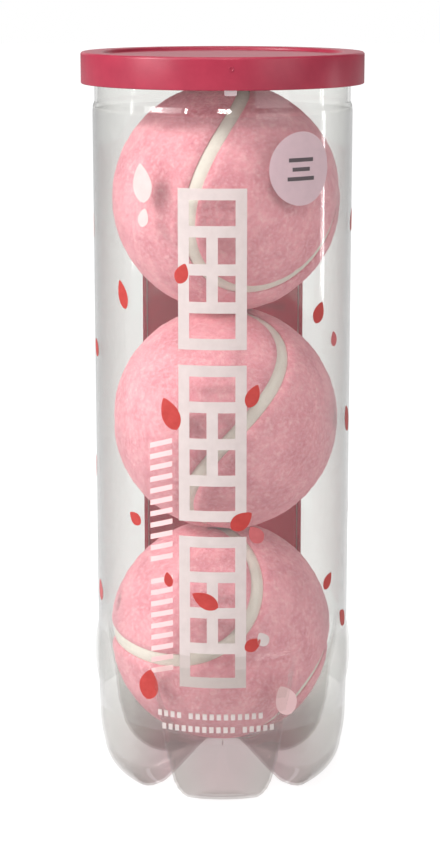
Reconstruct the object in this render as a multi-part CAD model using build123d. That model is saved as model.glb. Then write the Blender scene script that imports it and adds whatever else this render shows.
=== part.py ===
from build123d import *
import math
import os

os.makedirs("parts", exist_ok=True)

# A three-ball tennis can. Millimetres, +Z up, origin on the floor under the can's axis,
# front towards -Y. Every can size grows from the ball, the room round it and the walls.

# Balls
BALL_D = 65.4
BALLS = ("ball_bottom", "ball_middle", "ball_top")
BALL_SHIFTS = (-0.6, 0.8, 1.1)  # sideways rest of each ball, along X
BALL_TURNS = ((-85, -34, -88), (166, -43, -11), (153, -27, 8))  # how each ball happens to lie, degrees
BALL_GAP = 0.2
FELT_T = 3.2
CORE_T = 3.5
GLUE_GAP = 0.02
SEAM_W = 4.0
SEAM_SINK = 0.5
SEAM_WAVE = 0.25  # how far the seam bends away from a plain circle

# Clear container
WALL = 0.7
SIDE_ROOM = 4.1  # from a centred ball to the wall
NECK_WALL = 0.9
NECK_STEP = 0.5  # the neck is this much slimmer than the tube
NECK_H = 12.5  # shoulder to flange
HEADROOM = 1.7  # from the top ball to the tear panel
FLANGE_W = 1.8
FLANGE_T = 0.8
SHOULDER_H = 1.4

# Five-foot base
FEET = 5
FOOT_DEPTH = 11.0  # floor to the middle of the base
FOOT_TOP = 27.0
FOOT_TAPER = 2.2
FOOT_HEEL = 20.5  # radius where a foot's inner slope meets the floor
FOOT_TOE_R = 12.0
FOOT_HEEL_R = 5.0
FOOT_BLEND_R = 60.0
GATE_R = 6.5
GATE_DROP = 1.7
VALLEY_R = 3.5
VALLEY_SLOPE = 15.0
VALLEY_REACH = 100.0  # degrees that a valley runs up the side from the centre

# Aluminium end
SHEET_T = 0.3
SEAM_H = 3.0
SEAM_GAP = 0.05
COUNTERSINK = 6.1
COMPOUND_T = 0.5
SCORE_GAP = 0.25
MOUTH_ROOM = 0.8  # between a ball and the torn-out mouth
BEAD_INSET = 6.35  # from the panel's edge to the middle of its stiffening groove
BEAD_W = 1.6
BEAD_DEEP = 0.5

# Pull tab
TAB_L = 26.0
TAB_W = 19.0
TAB_T = 1.3
TAB_GAP = 0.15
TAB_SETBACK = 2.2  # nose to the score line
TAB_ROUND = 0.5
NOSE_W = 11.0
RING_RIM = 2.8
RING_HOLE_L = 11.4
WINDOW_L = 8.0
WINDOW_W = 8.6
TONGUE_W = 6.6
TONGUE_L = 7.0
TONGUE_T = 0.35
RIVET_D = 4.0
RIVET_SHANK_D = 2.6
RIVET_HEAD_T = 0.5

# Overcap
CAP_WALL = 0.9
CAP_ROOF = 1.1
CAP_PLAY = 0.8  # radial room round the seam
CAP_BEAD_GAP = 0.2
CAP_BEAD_H = 1.6
CAP_BEAD_DROP = 0.4  # below the foot of the seam
CAP_SKIRT = 9.0
CAP_ROOF_GAP = 0.2
CAP_PLUG_GAP = 0.4
CAP_DISH = 1.0
CAP_ROUND = 0.8
LIFT_LUG_W = 3.4
LIFT_LUG_H = 1.5
LIFT_LUG_X = 1.4

# Printed pieces
SLEEVE_T = 0.1
LABEL_T = 0.08
LAY = 0.02
SLEEVE_FOOT = 24.0
SLEEVE_TOP_GAP = 1.0
STICKER_D = 20.5
STICKER_DROP = 15.5  # shoulder to the middle of the sticker
STICKER_AZ = 35.5
BACK_W = 53.5
BACK_INSETS = (16.5, 14.0)  # in from the sleeve's foot and head

# Derived sizes
BALL_R = BALL_D / 2
FELT_IN_R = BALL_R - FELT_T
CORE_R = FELT_IN_R - GLUE_GAP
BORE_R = BALL_R + SIDE_ROOM
TUBE_R = BORE_R + WALL
DOME_Z = FOOT_DEPTH + TUBE_R
NECK_R = TUBE_R - NECK_STEP
NECK_IN_R = NECK_R - NECK_WALL


def ball_centres():
    """Rest of each ball: the first in the dome, each next one on the ball below it."""
    room = SIDE_ROOM - BALL_GAP
    z = DOME_Z - math.sqrt(room**2 - BALL_SHIFTS[0] ** 2)
    centres = [(BALL_SHIFTS[0], 0.0, z)]
    for below, shift in zip(BALL_SHIFTS, BALL_SHIFTS[1:]):
        z += math.sqrt((BALL_D + BALL_GAP) ** 2 - (shift - below) ** 2)
        centres.append((shift, 0.0, z))
    return centres


CENTRES = ball_centres()
PANEL_Z = CENTRES[-1][2] + BALL_R + HEADROOM  # underside of the tear panel
PANEL_TOP = PANEL_Z + SHEET_T
SEAM_TOP = PANEL_TOP + COUNTERSINK
CHUCK_R = NECK_IN_R - SEAM_GAP  # outside of the end's countersunk wall
FLANGE_TOP = SEAM_TOP - SHEET_T - COMPOUND_T
SHOULDER_Z = FLANGE_TOP - FLANGE_T - NECK_H
HOOK_R = NECK_R + FLANGE_W + SEAM_GAP
SEAM_R = HOOK_R + SHEET_T
MOUTH_R = BALL_R + max(abs(shift) for shift in BALL_SHIFTS) + MOUTH_ROOM
PANEL_R = MOUTH_R - SCORE_GAP
SLEEVE_R = TUBE_R + LAY + SLEEVE_T
LABEL_R = SLEEVE_R + LAY
SLEEVE_HEAD = SHOULDER_Z - SLEEVE_TOP_GAP
STICKER_Z = SHOULDER_Z - STICKER_DROP
BACK_LOW = SLEEVE_FOOT + BACK_INSETS[0]
BACK_HIGH = SLEEVE_HEAD - BACK_INSETS[1]
BEAD_R = PANEL_R - BEAD_INSET


def half_section(points):
    """A closed section in the XZ plane from (radius, height) points."""
    return Plane.XZ * make_face(Polyline(*points, close=True))


def ring(inner, outer, low, high):
    """A plain ring about Z."""
    height = high - low
    tall = Pos(0, 0, low + height / 2)
    return tall * Cylinder(outer, height) - tall * Cylinder(inner, height + 2)


def wedge(centre_az, width_deg, reach, low, high):
    """The sector of space about azimuth centre_az, for cutting a curved patch."""
    half = math.radians(width_deg / 2)
    far = reach / math.cos(half)
    corners = [(0, 0), (far * math.sin(-half), -far * math.cos(half))]
    corners.append((far * math.sin(half), -far * math.cos(half)))
    flat = make_face(Polyline(*corners, close=True))
    return Rot(0, 0, centre_az) * Pos(0, 0, low) * extrude(flat, high - low)


# Container


def feet_outline(inset):
    """Section across the base before its valleys, drawn inset from the outside."""
    toe = TUBE_R - FOOT_TAPER
    lift = FOOT_DEPTH - GATE_DROP
    side = [(TUBE_R, DOME_Z), (TUBE_R, FOOT_TOP), (toe, 0), (FOOT_HEEL, 0), (GATE_R, lift)]
    mirrored = [(-x, z) for x, z in reversed(side)]
    face = make_face(Polyline(*side, *mirrored, close=True))
    rounds = ((TUBE_R, FOOT_TOP, FOOT_BLEND_R), (toe, 0, FOOT_TOE_R), (FOOT_HEEL, 0, FOOT_HEEL_R))
    for x, z, radius in rounds:
        face = fillet([v for v in face.vertices() if is_at(v, x, z)], radius)
    if inset:
        face = offset(face, -inset, kind=Kind.INTERSECTION)
    return face


def is_at(vertex, x, z):
    return abs(abs(vertex.X) - x) < 1e-6 and abs(vertex.Y - z) < 1e-6


def valley(grow):
    """One valley between two feet: a round-bottomed channel bent along the dome."""
    slope = math.radians(VALLEY_SLOPE)
    round_r = VALLEY_R + grow
    x = round_r * math.cos(slope)
    rho = TUBE_R + VALLEY_R - round_r * math.sin(slope)
    end = TUBE_R + 2 * FOOT_DEPTH + 2
    wide = x + (end - rho) * math.tan(slope)
    root = ThreePointArc((-x, rho), (0, TUBE_R - grow), (x, rho))
    sides = Polyline((x, rho), (wide, end), (-wide, end), (-x, rho))
    across = Plane(origin=(0, 0, DOME_Z), x_dir=(0, 1, 0), z_dir=(-1, 0, 0))
    section = across * make_face([root, *sides.edges()])
    hinge = Axis((0, 0, DOME_Z), (0, 1, 0))
    return revolve(section, axis=hinge, revolution_arc=-VALLEY_REACH)


def base_solid(inset):
    """The base up to the dome's centre height, inset from the outside."""
    half = feet_outline(inset) & Pos(TUBE_R, 0) * Rectangle(2 * TUBE_R, 4 * DOME_Z)
    body = revolve(Plane.XZ * half, axis=Axis.Z)
    channel = valley(inset)
    for k in range(FEET):
        body -= Rot(0, 0, -90 + (k + 0.5) * 360 / FEET) * channel
    return body


def can_body():
    """Blow-moulded container: feet, tube, shoulder, neck and the flange inside the seam."""
    low = DOME_Z - 2 * WALL
    outside = [(0, low), (TUBE_R, low), (TUBE_R, SHOULDER_Z), (NECK_R, SHOULDER_Z + SHOULDER_H)]
    outside += [(NECK_R, FLANGE_TOP - FLANGE_T), (NECK_R + FLANGE_W, FLANGE_TOP - FLANGE_T)]
    outside += [(NECK_R + FLANGE_W, FLANGE_TOP), (0, FLANGE_TOP)]
    inside = [(0, low), (BORE_R, low), (BORE_R, SHOULDER_Z), (NECK_IN_R, SHOULDER_Z + SHOULDER_H)]
    inside += [(NECK_IN_R, FLANGE_TOP + 1), (0, FLANGE_TOP + 1)]
    solid = base_solid(0) + revolve(half_section(outside), axis=Axis.Z)
    cavity = base_solid(WALL) + revolve(half_section(inside), axis=Axis.Z)
    return solid - cavity


def label_sleeve():
    """Clear printed film round the straight tube."""
    return ring(TUBE_R + LAY, SLEEVE_R, SLEEVE_FOOT, SLEEVE_HEAD)


def round_sticker():
    """Round sticker bent to the sleeve."""
    skin = ring(LABEL_R, LABEL_R + LABEL_T, STICKER_Z - STICKER_D, STICKER_Z + STICKER_D)
    punch = Rot(0, 0, STICKER_AZ) * Pos(0, -TUBE_R, STICKER_Z) * Rot(90, 0, 0)
    return skin & punch * Cylinder(STICKER_D / 2, TUBE_R)


def back_label():
    """Opaque rectangular label on the back."""
    skin = ring(LABEL_R, LABEL_R + LABEL_T, BACK_LOW, BACK_HIGH)
    width = math.degrees(BACK_W / LABEL_R)
    return skin & wedge(180, width, 2 * TUBE_R, BACK_LOW, BACK_HIGH)


# Aluminium end


def end_ring():
    """Fixed part of the end: hook, seam crown, countersunk wall and the rim of the mouth."""
    foot = SEAM_TOP - SEAM_H
    points = [(MOUTH_R, PANEL_Z), (CHUCK_R, PANEL_Z), (CHUCK_R, SEAM_TOP - SHEET_T)]
    points += [(HOOK_R, SEAM_TOP - SHEET_T), (HOOK_R, foot + SHEET_T)]
    points += [(NECK_R + SEAM_GAP, foot + SHEET_T), (NECK_R + SEAM_GAP, foot), (SEAM_R, foot)]
    points += [(SEAM_R, SEAM_TOP), (CHUCK_R - SHEET_T, SEAM_TOP)]
    points += [(CHUCK_R - SHEET_T, PANEL_TOP), (MOUTH_R, PANEL_TOP)]
    body = revolve(half_section(points), axis=Axis.Z)
    crown = [e for e in body.edges().filter_by(GeomType.CIRCLE) if is_crown(e)]
    return fillet(crown, SHEET_T)


def is_crown(edge):
    """The two outer rims of the seam's crown."""
    return abs(edge.arc_center.Z - SEAM_TOP) < 1e-6


def seam_compound():
    """Sealing compound between the flange and the crown."""
    return ring(NECK_IN_R, NECK_R + FLANGE_W, FLANGE_TOP, SEAM_TOP - SHEET_T)


def tear_panel():
    """The disc that tears out along the score line, with a groove that stiffens it."""
    near, far = BEAD_R - BEAD_W / 2, BEAD_R + BEAD_W / 2
    top = [(0, PANEL_TOP), (near, PANEL_TOP), (BEAD_R, PANEL_TOP - BEAD_DEEP)]
    top += [(far, PANEL_TOP), (PANEL_R, PANEL_TOP)]
    under = [(radius, z - SHEET_T) for radius, z in reversed(top)]
    disc = revolve(half_section(top + under), axis=Axis.Z)
    return disc - rivet_post(RIVET_SHANK_D / 2 + LAY, PANEL_Z - 1, PANEL_TOP + 1)


# The tab's nose lies at the back, inside the score line, and its ring end points to the front.
NOSE_R = TAB_T / 2
TAB_Z = PANEL_TOP + TAB_GAP + NOSE_R
NOSE_Y = MOUTH_R - TAB_SETBACK - NOSE_R
WINDOW_Y = NOSE_Y - NOSE_R - WINDOW_L / 2
TONGUE_Y = NOSE_Y - NOSE_R - TAB_GAP - TONGUE_L / 2
RING_Y = NOSE_Y + NOSE_R - TAB_L + RING_RIM + RING_HOLE_L / 2


def rivet_post(radius, low, high):
    return Pos(0, TONGUE_Y, (low + high) / 2) * Cylinder(radius, high - low)


def tab_rivet():
    """Rivet through the panel and the tongue, with a low round head."""
    seat = PANEL_TOP + TONGUE_T
    head = rivet_post(RIVET_D / 2, seat, seat + RIVET_HEAD_T)
    head = fillet(head.edges().group_by(Axis.Z)[-1], RIVET_HEAD_T * 0.6)
    return rivet_post(RIVET_SHANK_D / 2, PANEL_Z, seat) + head


def tab_tongue():
    """Flat tongue of the tab, held down by the rivet."""
    plate = Pos(0, TONGUE_Y, PANEL_TOP + TONGUE_T / 2) * Box(TONGUE_W, TONGUE_L, TONGUE_T)
    return plate - rivet_post(RIVET_SHANK_D / 2 + LAY, PANEL_TOP - 1, PANEL_TOP + 1)


def pull_tab():
    """Finger ring with a rolled edge, a window round the tongue and a round nose."""
    nose = Pos(0, NOSE_Y) * Rectangle(NOSE_W, NOSE_R * 0.02)
    ring_end = Pos(0, NOSE_Y + NOSE_R - TAB_L + TAB_W / 2) * Circle(TAB_W / 2)
    plan = make_hull([*nose.edges(), *ring_end.edges()])
    plan -= Pos(0, WINDOW_Y) * Rectangle(WINDOW_W, WINDOW_L)
    plan -= Pos(0, RING_Y) * Ellipse(TAB_W / 2 - RING_RIM, RING_HOLE_L / 2)
    body = Pos(0, 0, TAB_Z - TAB_T / 2) * extrude(plan, TAB_T)
    flat = [e for e in body.edges() if is_rolled(e)]
    body = fillet(flat, TAB_ROUND)
    return body + Pos(0, NOSE_Y, TAB_Z) * Rot(0, 90, 0) * Cylinder(NOSE_R, NOSE_W)


def is_rolled(edge):
    """Edges of the ring end, clear of the window and the nose."""
    return edge.bounding_box().max.Y < NOSE_Y - NOSE_R and not is_window(edge)


def is_window(edge):
    centre = edge.center()
    return abs(centre.X) < WINDOW_W / 2 + 0.01 and abs(centre.Y - WINDOW_Y) < WINDOW_L / 2 + 0.01


# Overcap
CAP_IN_R = SEAM_R + CAP_PLAY
CAP_R = CAP_IN_R + CAP_WALL
CAP_UNDER = SEAM_TOP + CAP_ROOF_GAP
CAP_TOP = CAP_UNDER + CAP_ROOF
PLUG_R = CHUCK_R - SHEET_T - CAP_PLUG_GAP


def overcap():
    """Snap-on overcap: dished roof, skirt with a bead under the seam, and a small lift lug."""
    foot = CAP_TOP - CAP_SKIRT
    bead_r = SEAM_R + CAP_BEAD_GAP
    bead_top = SEAM_TOP - SEAM_H - CAP_BEAD_DROP
    dish = PLUG_R - CAP_WALL
    points = [(0, CAP_UNDER - CAP_DISH), (PLUG_R, CAP_UNDER - CAP_DISH), (PLUG_R, CAP_UNDER)]
    points += [(CAP_IN_R, CAP_UNDER), (CAP_IN_R, bead_top), (bead_r, bead_top - CAP_BEAD_H / 2)]
    points += [(CAP_IN_R, bead_top - CAP_BEAD_H), (CAP_IN_R, foot), (CAP_R, foot)]
    points += [(CAP_R, CAP_TOP), (dish, CAP_TOP), (dish, CAP_TOP - CAP_DISH), (0, CAP_TOP - CAP_DISH)]
    body = revolve(half_section(points), axis=Axis.Z)
    rims = [e for e in body.edges().filter_by(GeomType.CIRCLE) if is_cap_rim(e)]
    body = fillet(rims, CAP_ROUND)
    block = Pos(LIFT_LUG_X, -CAP_R, foot) * Box(LIFT_LUG_W, 4 * CAP_WALL, 2 * LIFT_LUG_H)
    return body + (ring(CAP_IN_R, CAP_R, foot - LIFT_LUG_H, foot + LIFT_LUG_H) & block)


def is_cap_rim(edge):
    return abs(edge.arc_center.Z - CAP_TOP) < 1e-6


# Balls


def seam_point(turn, radius, side):
    """Point of the seam's edge on a sphere; side is -1 or 1, or 0 for its middle line."""
    wide, wave = 1 - SEAM_WAVE, SEAM_WAVE
    tall = 2 * math.sqrt(wide * wave)
    x = wide * math.cos(turn) + wave * math.cos(3 * turn)
    y = wide * math.sin(turn) - wave * math.sin(3 * turn)
    place = Vector(x, y, tall * math.sin(2 * turn))
    dx = -wide * math.sin(turn) - 3 * wave * math.sin(3 * turn)
    dy = wide * math.cos(turn) - 3 * wave * math.cos(3 * turn)
    along = Vector(dx, dy, 2 * tall * math.cos(2 * turn))
    out = place.cross(along).normalized()
    lean = side * SEAM_W / 2 / BALL_R
    return (place * math.cos(lean) + out * math.sin(lean)) * radius


def seam_ribbon(side):
    """Radial ribbon that cuts the felt shell along one edge of the seam, in equal lengths."""
    lengths, steps = 16, 6
    strips = []
    for k in range(lengths):
        turns = [2 * math.pi * (k + i / steps) / lengths for i in range(steps + 1)]
        near, far = (seam_edge(turns, radius, side) for radius in (CORE_R - 1, BALL_R + 1))
        strips.append(Face.make_surface_from_curves(near, far))
    return Shell(strips)


def seam_edge(turns, radius, side):
    ends = [seam_heading(turns[0], side), seam_heading(turns[-1], side)]
    return Edge.make_spline([seam_point(t, radius, side) for t in turns], tangents=ends)


def seam_heading(turn, side):
    tiny = 1e-4
    return (seam_point(turn + tiny, 1, side) - seam_point(turn - tiny, 1, side)).normalized()


def split_all(solids, tool):
    cut = []
    for solid in solids:
        cut += solid.split(tool, keep=Keep.ALL).solids()
    return cut


def felt_sphere(radius):
    """A sphere whose poles and join line lie inside the first felt panel."""
    return Plane(origin=(0, 0, 0), x_dir=(0, 0, 1), z_dir=(1, -1, 0)) * Sphere(radius)


def ball_pieces():
    """One ball about the origin: two core halves, two like felt panels and the seam."""
    cut = (felt_sphere(BALL_R) - felt_sphere(FELT_IN_R)).solids()
    for side in (-1, 1):
        cut = split_all(cut, seam_ribbon(side))
    seam, *felts = sorted(cut, key=lambda solid: solid.volume)
    felt = min(felts, key=lambda solid: solid.center().Z)
    core = Sphere(CORE_R) - Sphere(CORE_R - CORE_T)
    upper = Pos(0, 0, BALL_R) * Box(BALL_D, BALL_D, BALL_D)
    pieces = {"core_a": core & upper, "core_b": core - upper}
    pieces["felt_a"] = Rot(180, 0, 0) * felt
    pieces["felt_b"] = felt
    pieces["seam"] = seam & felt_sphere(BALL_R - SEAM_SINK)
    return pieces


CONTAINER = (can_body, label_sleeve, round_sticker, back_label, end_ring, seam_compound)
CLOSURE = (tear_panel, tab_rivet, tab_tongue, pull_tab, overcap)
for make in CONTAINER + CLOSURE:
    export_step(make(), f"parts/{make.__name__}.step")

ONE_BALL = ball_pieces()
for ball, centre, turn in zip(BALLS, CENTRES, BALL_TURNS):
    for name, piece in ONE_BALL.items():
        export_step(Pos(*centre) * Rot(*turn) * piece, f"parts/{ball}_{name}.step")
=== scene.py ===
"""Looks of the tennis ball can: clear container, aluminium end, raspberry overcap, felt balls."""

import math

import bmesh
import bpy
import numpy as np
from mathutils import Matrix, Vector, noise


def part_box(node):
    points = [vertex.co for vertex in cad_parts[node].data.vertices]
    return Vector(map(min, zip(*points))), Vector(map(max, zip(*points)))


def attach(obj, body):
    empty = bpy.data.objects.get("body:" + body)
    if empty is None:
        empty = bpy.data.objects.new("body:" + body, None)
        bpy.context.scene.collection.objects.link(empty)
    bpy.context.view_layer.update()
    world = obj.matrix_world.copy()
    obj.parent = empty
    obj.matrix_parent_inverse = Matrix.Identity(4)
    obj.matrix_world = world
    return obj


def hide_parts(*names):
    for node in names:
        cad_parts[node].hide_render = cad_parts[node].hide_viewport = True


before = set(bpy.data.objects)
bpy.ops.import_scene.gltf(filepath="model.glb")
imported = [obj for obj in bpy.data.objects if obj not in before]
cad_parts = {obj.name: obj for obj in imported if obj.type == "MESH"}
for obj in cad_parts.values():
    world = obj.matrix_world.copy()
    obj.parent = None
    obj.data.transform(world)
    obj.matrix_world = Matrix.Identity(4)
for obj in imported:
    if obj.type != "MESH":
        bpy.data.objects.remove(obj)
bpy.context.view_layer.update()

MM = 0.001
TINY = 1e-6
TURNS = 320  # columns round every turned piece, a whole number for each foot

# Sizes read from the frame
SLEEVE_LOW, SLEEVE_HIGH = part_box("label_sleeve")
CAN_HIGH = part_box("can_body")[1]
RING_LOW, RING_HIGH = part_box("end_ring")
PANEL_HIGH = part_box("tear_panel")[1]
CAP_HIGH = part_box("overcap")[1]
BACK_LOW, BACK_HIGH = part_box("back_label")
STICKER_LOW, STICKER_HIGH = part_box("round_sticker")
SLEEVE_R = SLEEVE_HIGH.x
FLANGE_R = CAN_HIGH.x
SEAM_R = RING_HIGH.x
CAP_R = CAP_HIGH.x
PANEL_R = PANEL_HIGH.x

# Container, as it is blown
WALL = 0.7 * MM
NECK_WALL = 0.9 * MM
FLANGE_T = 0.8 * MM
TUBE_R = SLEEVE_R - 0.12 * MM
FEET = 5
FOOT_DEPTH = 11.0 * MM
FOOT_TOP = 27.0 * MM
FOOT_TAPER = 2.2 * MM
FOOT_HEEL = 20.5 * MM
FOOT_HEEL_R = 5.0 * MM
FOOT_TOE_R = 12.0 * MM
FOOT_BLEND_R = 60.0 * MM  # from the foot's taper to the tube
GATE_BLEND_R = 3.0 * MM
GATE_R = 6.5 * MM
GATE_DROP = 1.7 * MM
VALLEY_R = 3.5 * MM
VALLEY_SLOPE = math.radians(15)
RIM_SOFT = 8.0 * MM  # how softly a foot rolls over into its valleys
NECK_R = TUBE_R - 0.5 * MM
SHOULDER_Z = SLEEVE_HIGH.z + 1.0 * MM
SHOULDER_H = 1.4 * MM
DOME_Z = FOOT_DEPTH + TUBE_R
CHUCK_R = NECK_R - NECK_WALL - 0.05 * MM


# Mesh building


def add_piece(name, verts, faces, body, slot, material, replaces=(), sharp=35):
    """A mesh object in the row frame that rides on a body."""
    mesh = bpy.data.meshes.new(name)
    mesh.from_pydata([tuple(map(float, v)) for v in verts], [], [tuple(map(int, f)) for f in faces])
    mesh.validate()
    face_outwards(mesh)
    mesh.shade_smooth()
    mesh.set_sharp_from_angle(angle=math.radians(sharp))
    mesh.materials.append(material)
    piece = bpy.data.objects.new(name, mesh)
    bpy.context.scene.collection.objects.link(piece)
    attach(piece, body)
    if replaces:
        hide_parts(*replaces)
    return piece


def face_outwards(mesh):
    work = bmesh.new()
    work.from_mesh(mesh)
    bmesh.ops.recalc_face_normals(work, faces=work.faces)
    work.to_mesh(mesh)
    work.free()


def grid_quads(rows, cols, wrap_rows=False, wrap_cols=True, start=0):
    """Quads of a rows x cols grid of vertices."""
    quads = []
    for r in range(rows if wrap_rows else rows - 1):
        low, high = start + r * cols, start + (r + 1) % rows * cols
        for c in range(cols if wrap_cols else cols - 1):
            n = (c + 1) % cols
            quads.append((low + c, low + n, high + n, high + c))
    return quads


def turned(profile):
    """Vertices of (radius, height) points turned about Z, one row for each point."""
    around = np.linspace(0, 2 * math.pi, TURNS, endpoint=False)
    points = np.array(profile, float)
    x = points[:, :1] * np.sin(around)
    y = -points[:, :1] * np.cos(around)
    z = np.repeat(points[:, 1:], TURNS, axis=1)
    return np.stack([x, y, z], axis=-1).reshape(-1, 3)


def turned_piece(name, outline, body, slot, material, replaces=()):
    """A closed ring-like piece: its section's outline turned about Z."""
    faces = grid_quads(len(outline), TURNS, wrap_rows=True)
    return add_piece(name, turned(outline), faces, body, slot, material, replaces)


def turned_disc(name, outline, body, slot, material, replaces=()):
    """A closed piece whose outline starts and ends on the axis."""
    inner = outline[1:-1]
    verts = turned(inner)
    faces = grid_quads(len(inner), TURNS)
    ends = [(0, 0, outline[0][1]), (0, 0, outline[-1][1])]
    first, last = len(verts), len(verts) + 1
    top = (len(inner) - 1) * TURNS
    for c in range(TURNS):
        n = (c + 1) % TURNS
        faces.append((first, n, c))
        faces.append((last, top + c, top + n))
    return add_piece(name, np.vstack([verts, ends]), faces, body, slot, material, replaces)


def rounded(points, closed=True, steps=6):
    """An outline with its corners turned into arcs. Each point is (r, z) or (r, z, radius)."""
    out = []
    count = len(points)
    for i, point in enumerate(points):
        here = Vector(point[:2])
        radius = point[2] if len(point) > 2 else 0
        if radius == 0 or (not closed and i in (0, count - 1)):
            out.append(tuple(here))
            continue
        before = (Vector(points[i - 1][:2]) - here).normalized()
        after = (Vector(points[(i + 1) % count][:2]) - here).normalized()
        half = before.angle(after) / 2
        reach = radius / math.tan(half)
        centre = here + (before + after).normalized() * radius / math.sin(half)
        start = here + before * reach - centre
        turn = start.angle_signed(here + after * reach - centre)
        for k in range(steps + 1):
            angle = -turn * k / steps
            c, s = math.cos(angle), math.sin(angle)
            out.append((centre.x + start.x * c - start.y * s, centre.y + start.x * s + start.y * c))
    return out


# Container


def soft_min(a, b, soft):
    """The lesser of a and b, rounded off where they are within soft of each other."""
    mix = np.clip(0.5 + 0.5 * (b - a) / soft, 0, 1)
    return b * (1 - mix) + a * mix - soft * mix * (1 - mix)


def feet_reach(alpha):
    """Distance from the dome's centre to the feet's outline, at angle alpha from straight down."""
    toe = TUBE_R - FOOT_TAPER
    lift = FOOT_DEPTH - GATE_DROP
    outline = [(0, lift), (GATE_R, lift, GATE_BLEND_R), (FOOT_HEEL, 0, FOOT_HEEL_R)]
    outline += [(toe, 0, FOOT_TOE_R), (TUBE_R, FOOT_TOP, FOOT_BLEND_R), (TUBE_R, DOME_Z)]
    points = np.array(rounded(outline, closed=False, steps=24))
    angles = np.arctan2(points[:, 0], DOME_Z - points[:, 1])
    return np.interp(alpha, angles, np.hypot(points[:, 0], DOME_Z - points[:, 1]))


def valley_reach(alpha, beta):
    """Distance from the dome's centre to a round-bottomed valley, at beta from its middle."""
    across = np.abs(np.sin(alpha) * np.sin(beta))
    along = np.sqrt(1 - across**2)
    far = 1.8 * TUBE_R
    reach = np.full(np.broadcast(alpha, beta).shape, far)
    edge = VALLEY_R * math.cos(VALLEY_SLOPE)
    foot = VALLEY_R * (1 - math.sin(VALLEY_SLOPE))
    found = np.zeros(reach.shape, bool)
    steps = np.linspace(TUBE_R * 0.99, far, 160)
    last = None
    for rho in steps:
        u = rho * across
        bowl = VALLEY_R - np.sqrt(np.maximum(VALLEY_R**2 - np.minimum(u, edge) ** 2, 0))
        rise = np.where(u < edge, bowl, foot + (u - edge) / math.tan(VALLEY_SLOPE))
        excess = rho * along - TUBE_R - rise
        if last is not None:
            hit = ~found & (excess > 0)
            share = -last / np.where(excess - last == 0, 1, excess - last)
            reach = np.where(hit, rho - (1 - share) * (steps[1] - steps[0]), reach)
            found |= hit
        last = excess
    return reach


def base_rows():
    """The five-foot base from its middle up to the dome's centre height, as rows of points."""
    alpha = np.linspace(0, math.pi / 2, 150)[1:, None]
    around = np.linspace(0, 2 * math.pi, TURNS, endpoint=False)[None, :]
    sector = 2 * math.pi / FEET
    beta = (around + sector) % sector - sector / 2
    near = valley_reach(alpha, beta)
    other = valley_reach(alpha, sector - np.abs(beta))
    valleys = soft_min(near, other, np.clip(near - TUBE_R, TINY, 1.5 * MM))
    feet = feet_reach(alpha) + 0 * around
    reach = soft_min(feet, valleys, np.clip(feet - TUBE_R, TINY, RIM_SOFT))
    flat = np.sin(alpha)
    x = reach * flat * np.sin(around)
    y = -reach * flat * np.cos(around)
    z = np.maximum(DOME_Z - reach * np.cos(alpha), 0)
    return np.stack([x, y, z], axis=-1)


def upper_rows(points):
    return turned(points).reshape(-1, TURNS, 3)


def skin_offset(rows, depth):
    """Rows of points moved inwards along the skin's normals."""
    around = np.roll(rows, -1, axis=1) - np.roll(rows, 1, axis=1)
    up = np.gradient(rows, axis=0)
    normal = np.cross(around, up)
    return rows - depth * normal / np.maximum(np.linalg.norm(normal, axis=2, keepdims=True), 1e-12)


def container_rows():
    """The container's skin: up the outside to the flange and down the inside to the base."""
    base = base_rows()
    heights = np.linspace(DOME_Z, SHOULDER_Z - 2 * MM, 24)[1:]
    step = [(TUBE_R, SHOULDER_Z, 0.6 * MM), (NECK_R, SHOULDER_Z + SHOULDER_H, 0.6 * MM)]
    rim = [(NECK_R, CAN_HIGH.z - FLANGE_T, 0.3 * MM), (FLANGE_R, CAN_HIGH.z - FLANGE_T, 0.2 * MM)]
    rim += [(FLANGE_R, CAN_HIGH.z, 0.2 * MM), (NECK_R - NECK_WALL, CAN_HIGH.z)]
    outside = rounded([(TUBE_R, heights[-1]), *step, *rim], closed=False)[1:]
    step = [(r - WALL if r == TUBE_R else r - NECK_WALL, z, soft) for r, z, soft in step]
    inside = rounded([(TUBE_R - WALL, heights[-1]), *step, rim[-1]], closed=False)[1:-1]
    outside = upper_rows([(TUBE_R, z) for z in heights] + outside)
    inside = upper_rows([(TUBE_R - WALL, z) for z in heights] + inside)
    return np.concatenate([base, outside, inside[::-1], skin_offset(base, WALL)[::-1]])


def make_container(material):
    rows = container_rows()
    verts = rows.reshape(-1, 3)
    faces = grid_quads(len(rows), TURNS)
    poles = [(0, 0, rows[0, :, 2].mean()), (0, 0, rows[-1, :, 2].mean())]
    end = (len(rows) - 1) * TURNS
    for c in range(TURNS):
        n = (c + 1) % TURNS
        faces.append((len(verts), n, c))
        faces.append((len(verts) + 1, end + c, end + n))
    verts = np.vstack([verts, poles])
    return add_piece("pet_container", verts, faces, "can", "clear_pet", material, ["can_body"])


def make_sleeve(material):
    """Clear printed film, a closed thin ring."""
    inner = SLEEVE_R - 0.1 * MM
    low, high = SLEEVE_LOW.z, SLEEVE_HIGH.z
    outline = [(inner, low), (SLEEVE_R, low), (SLEEVE_R, high), (inner, high)]
    return turned_piece("film_sleeve", outline, "can", "clear_film", material, ["label_sleeve"])


# Prints: thin closed patches wrapped on the sleeve, from flat (across, up) outlines


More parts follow.
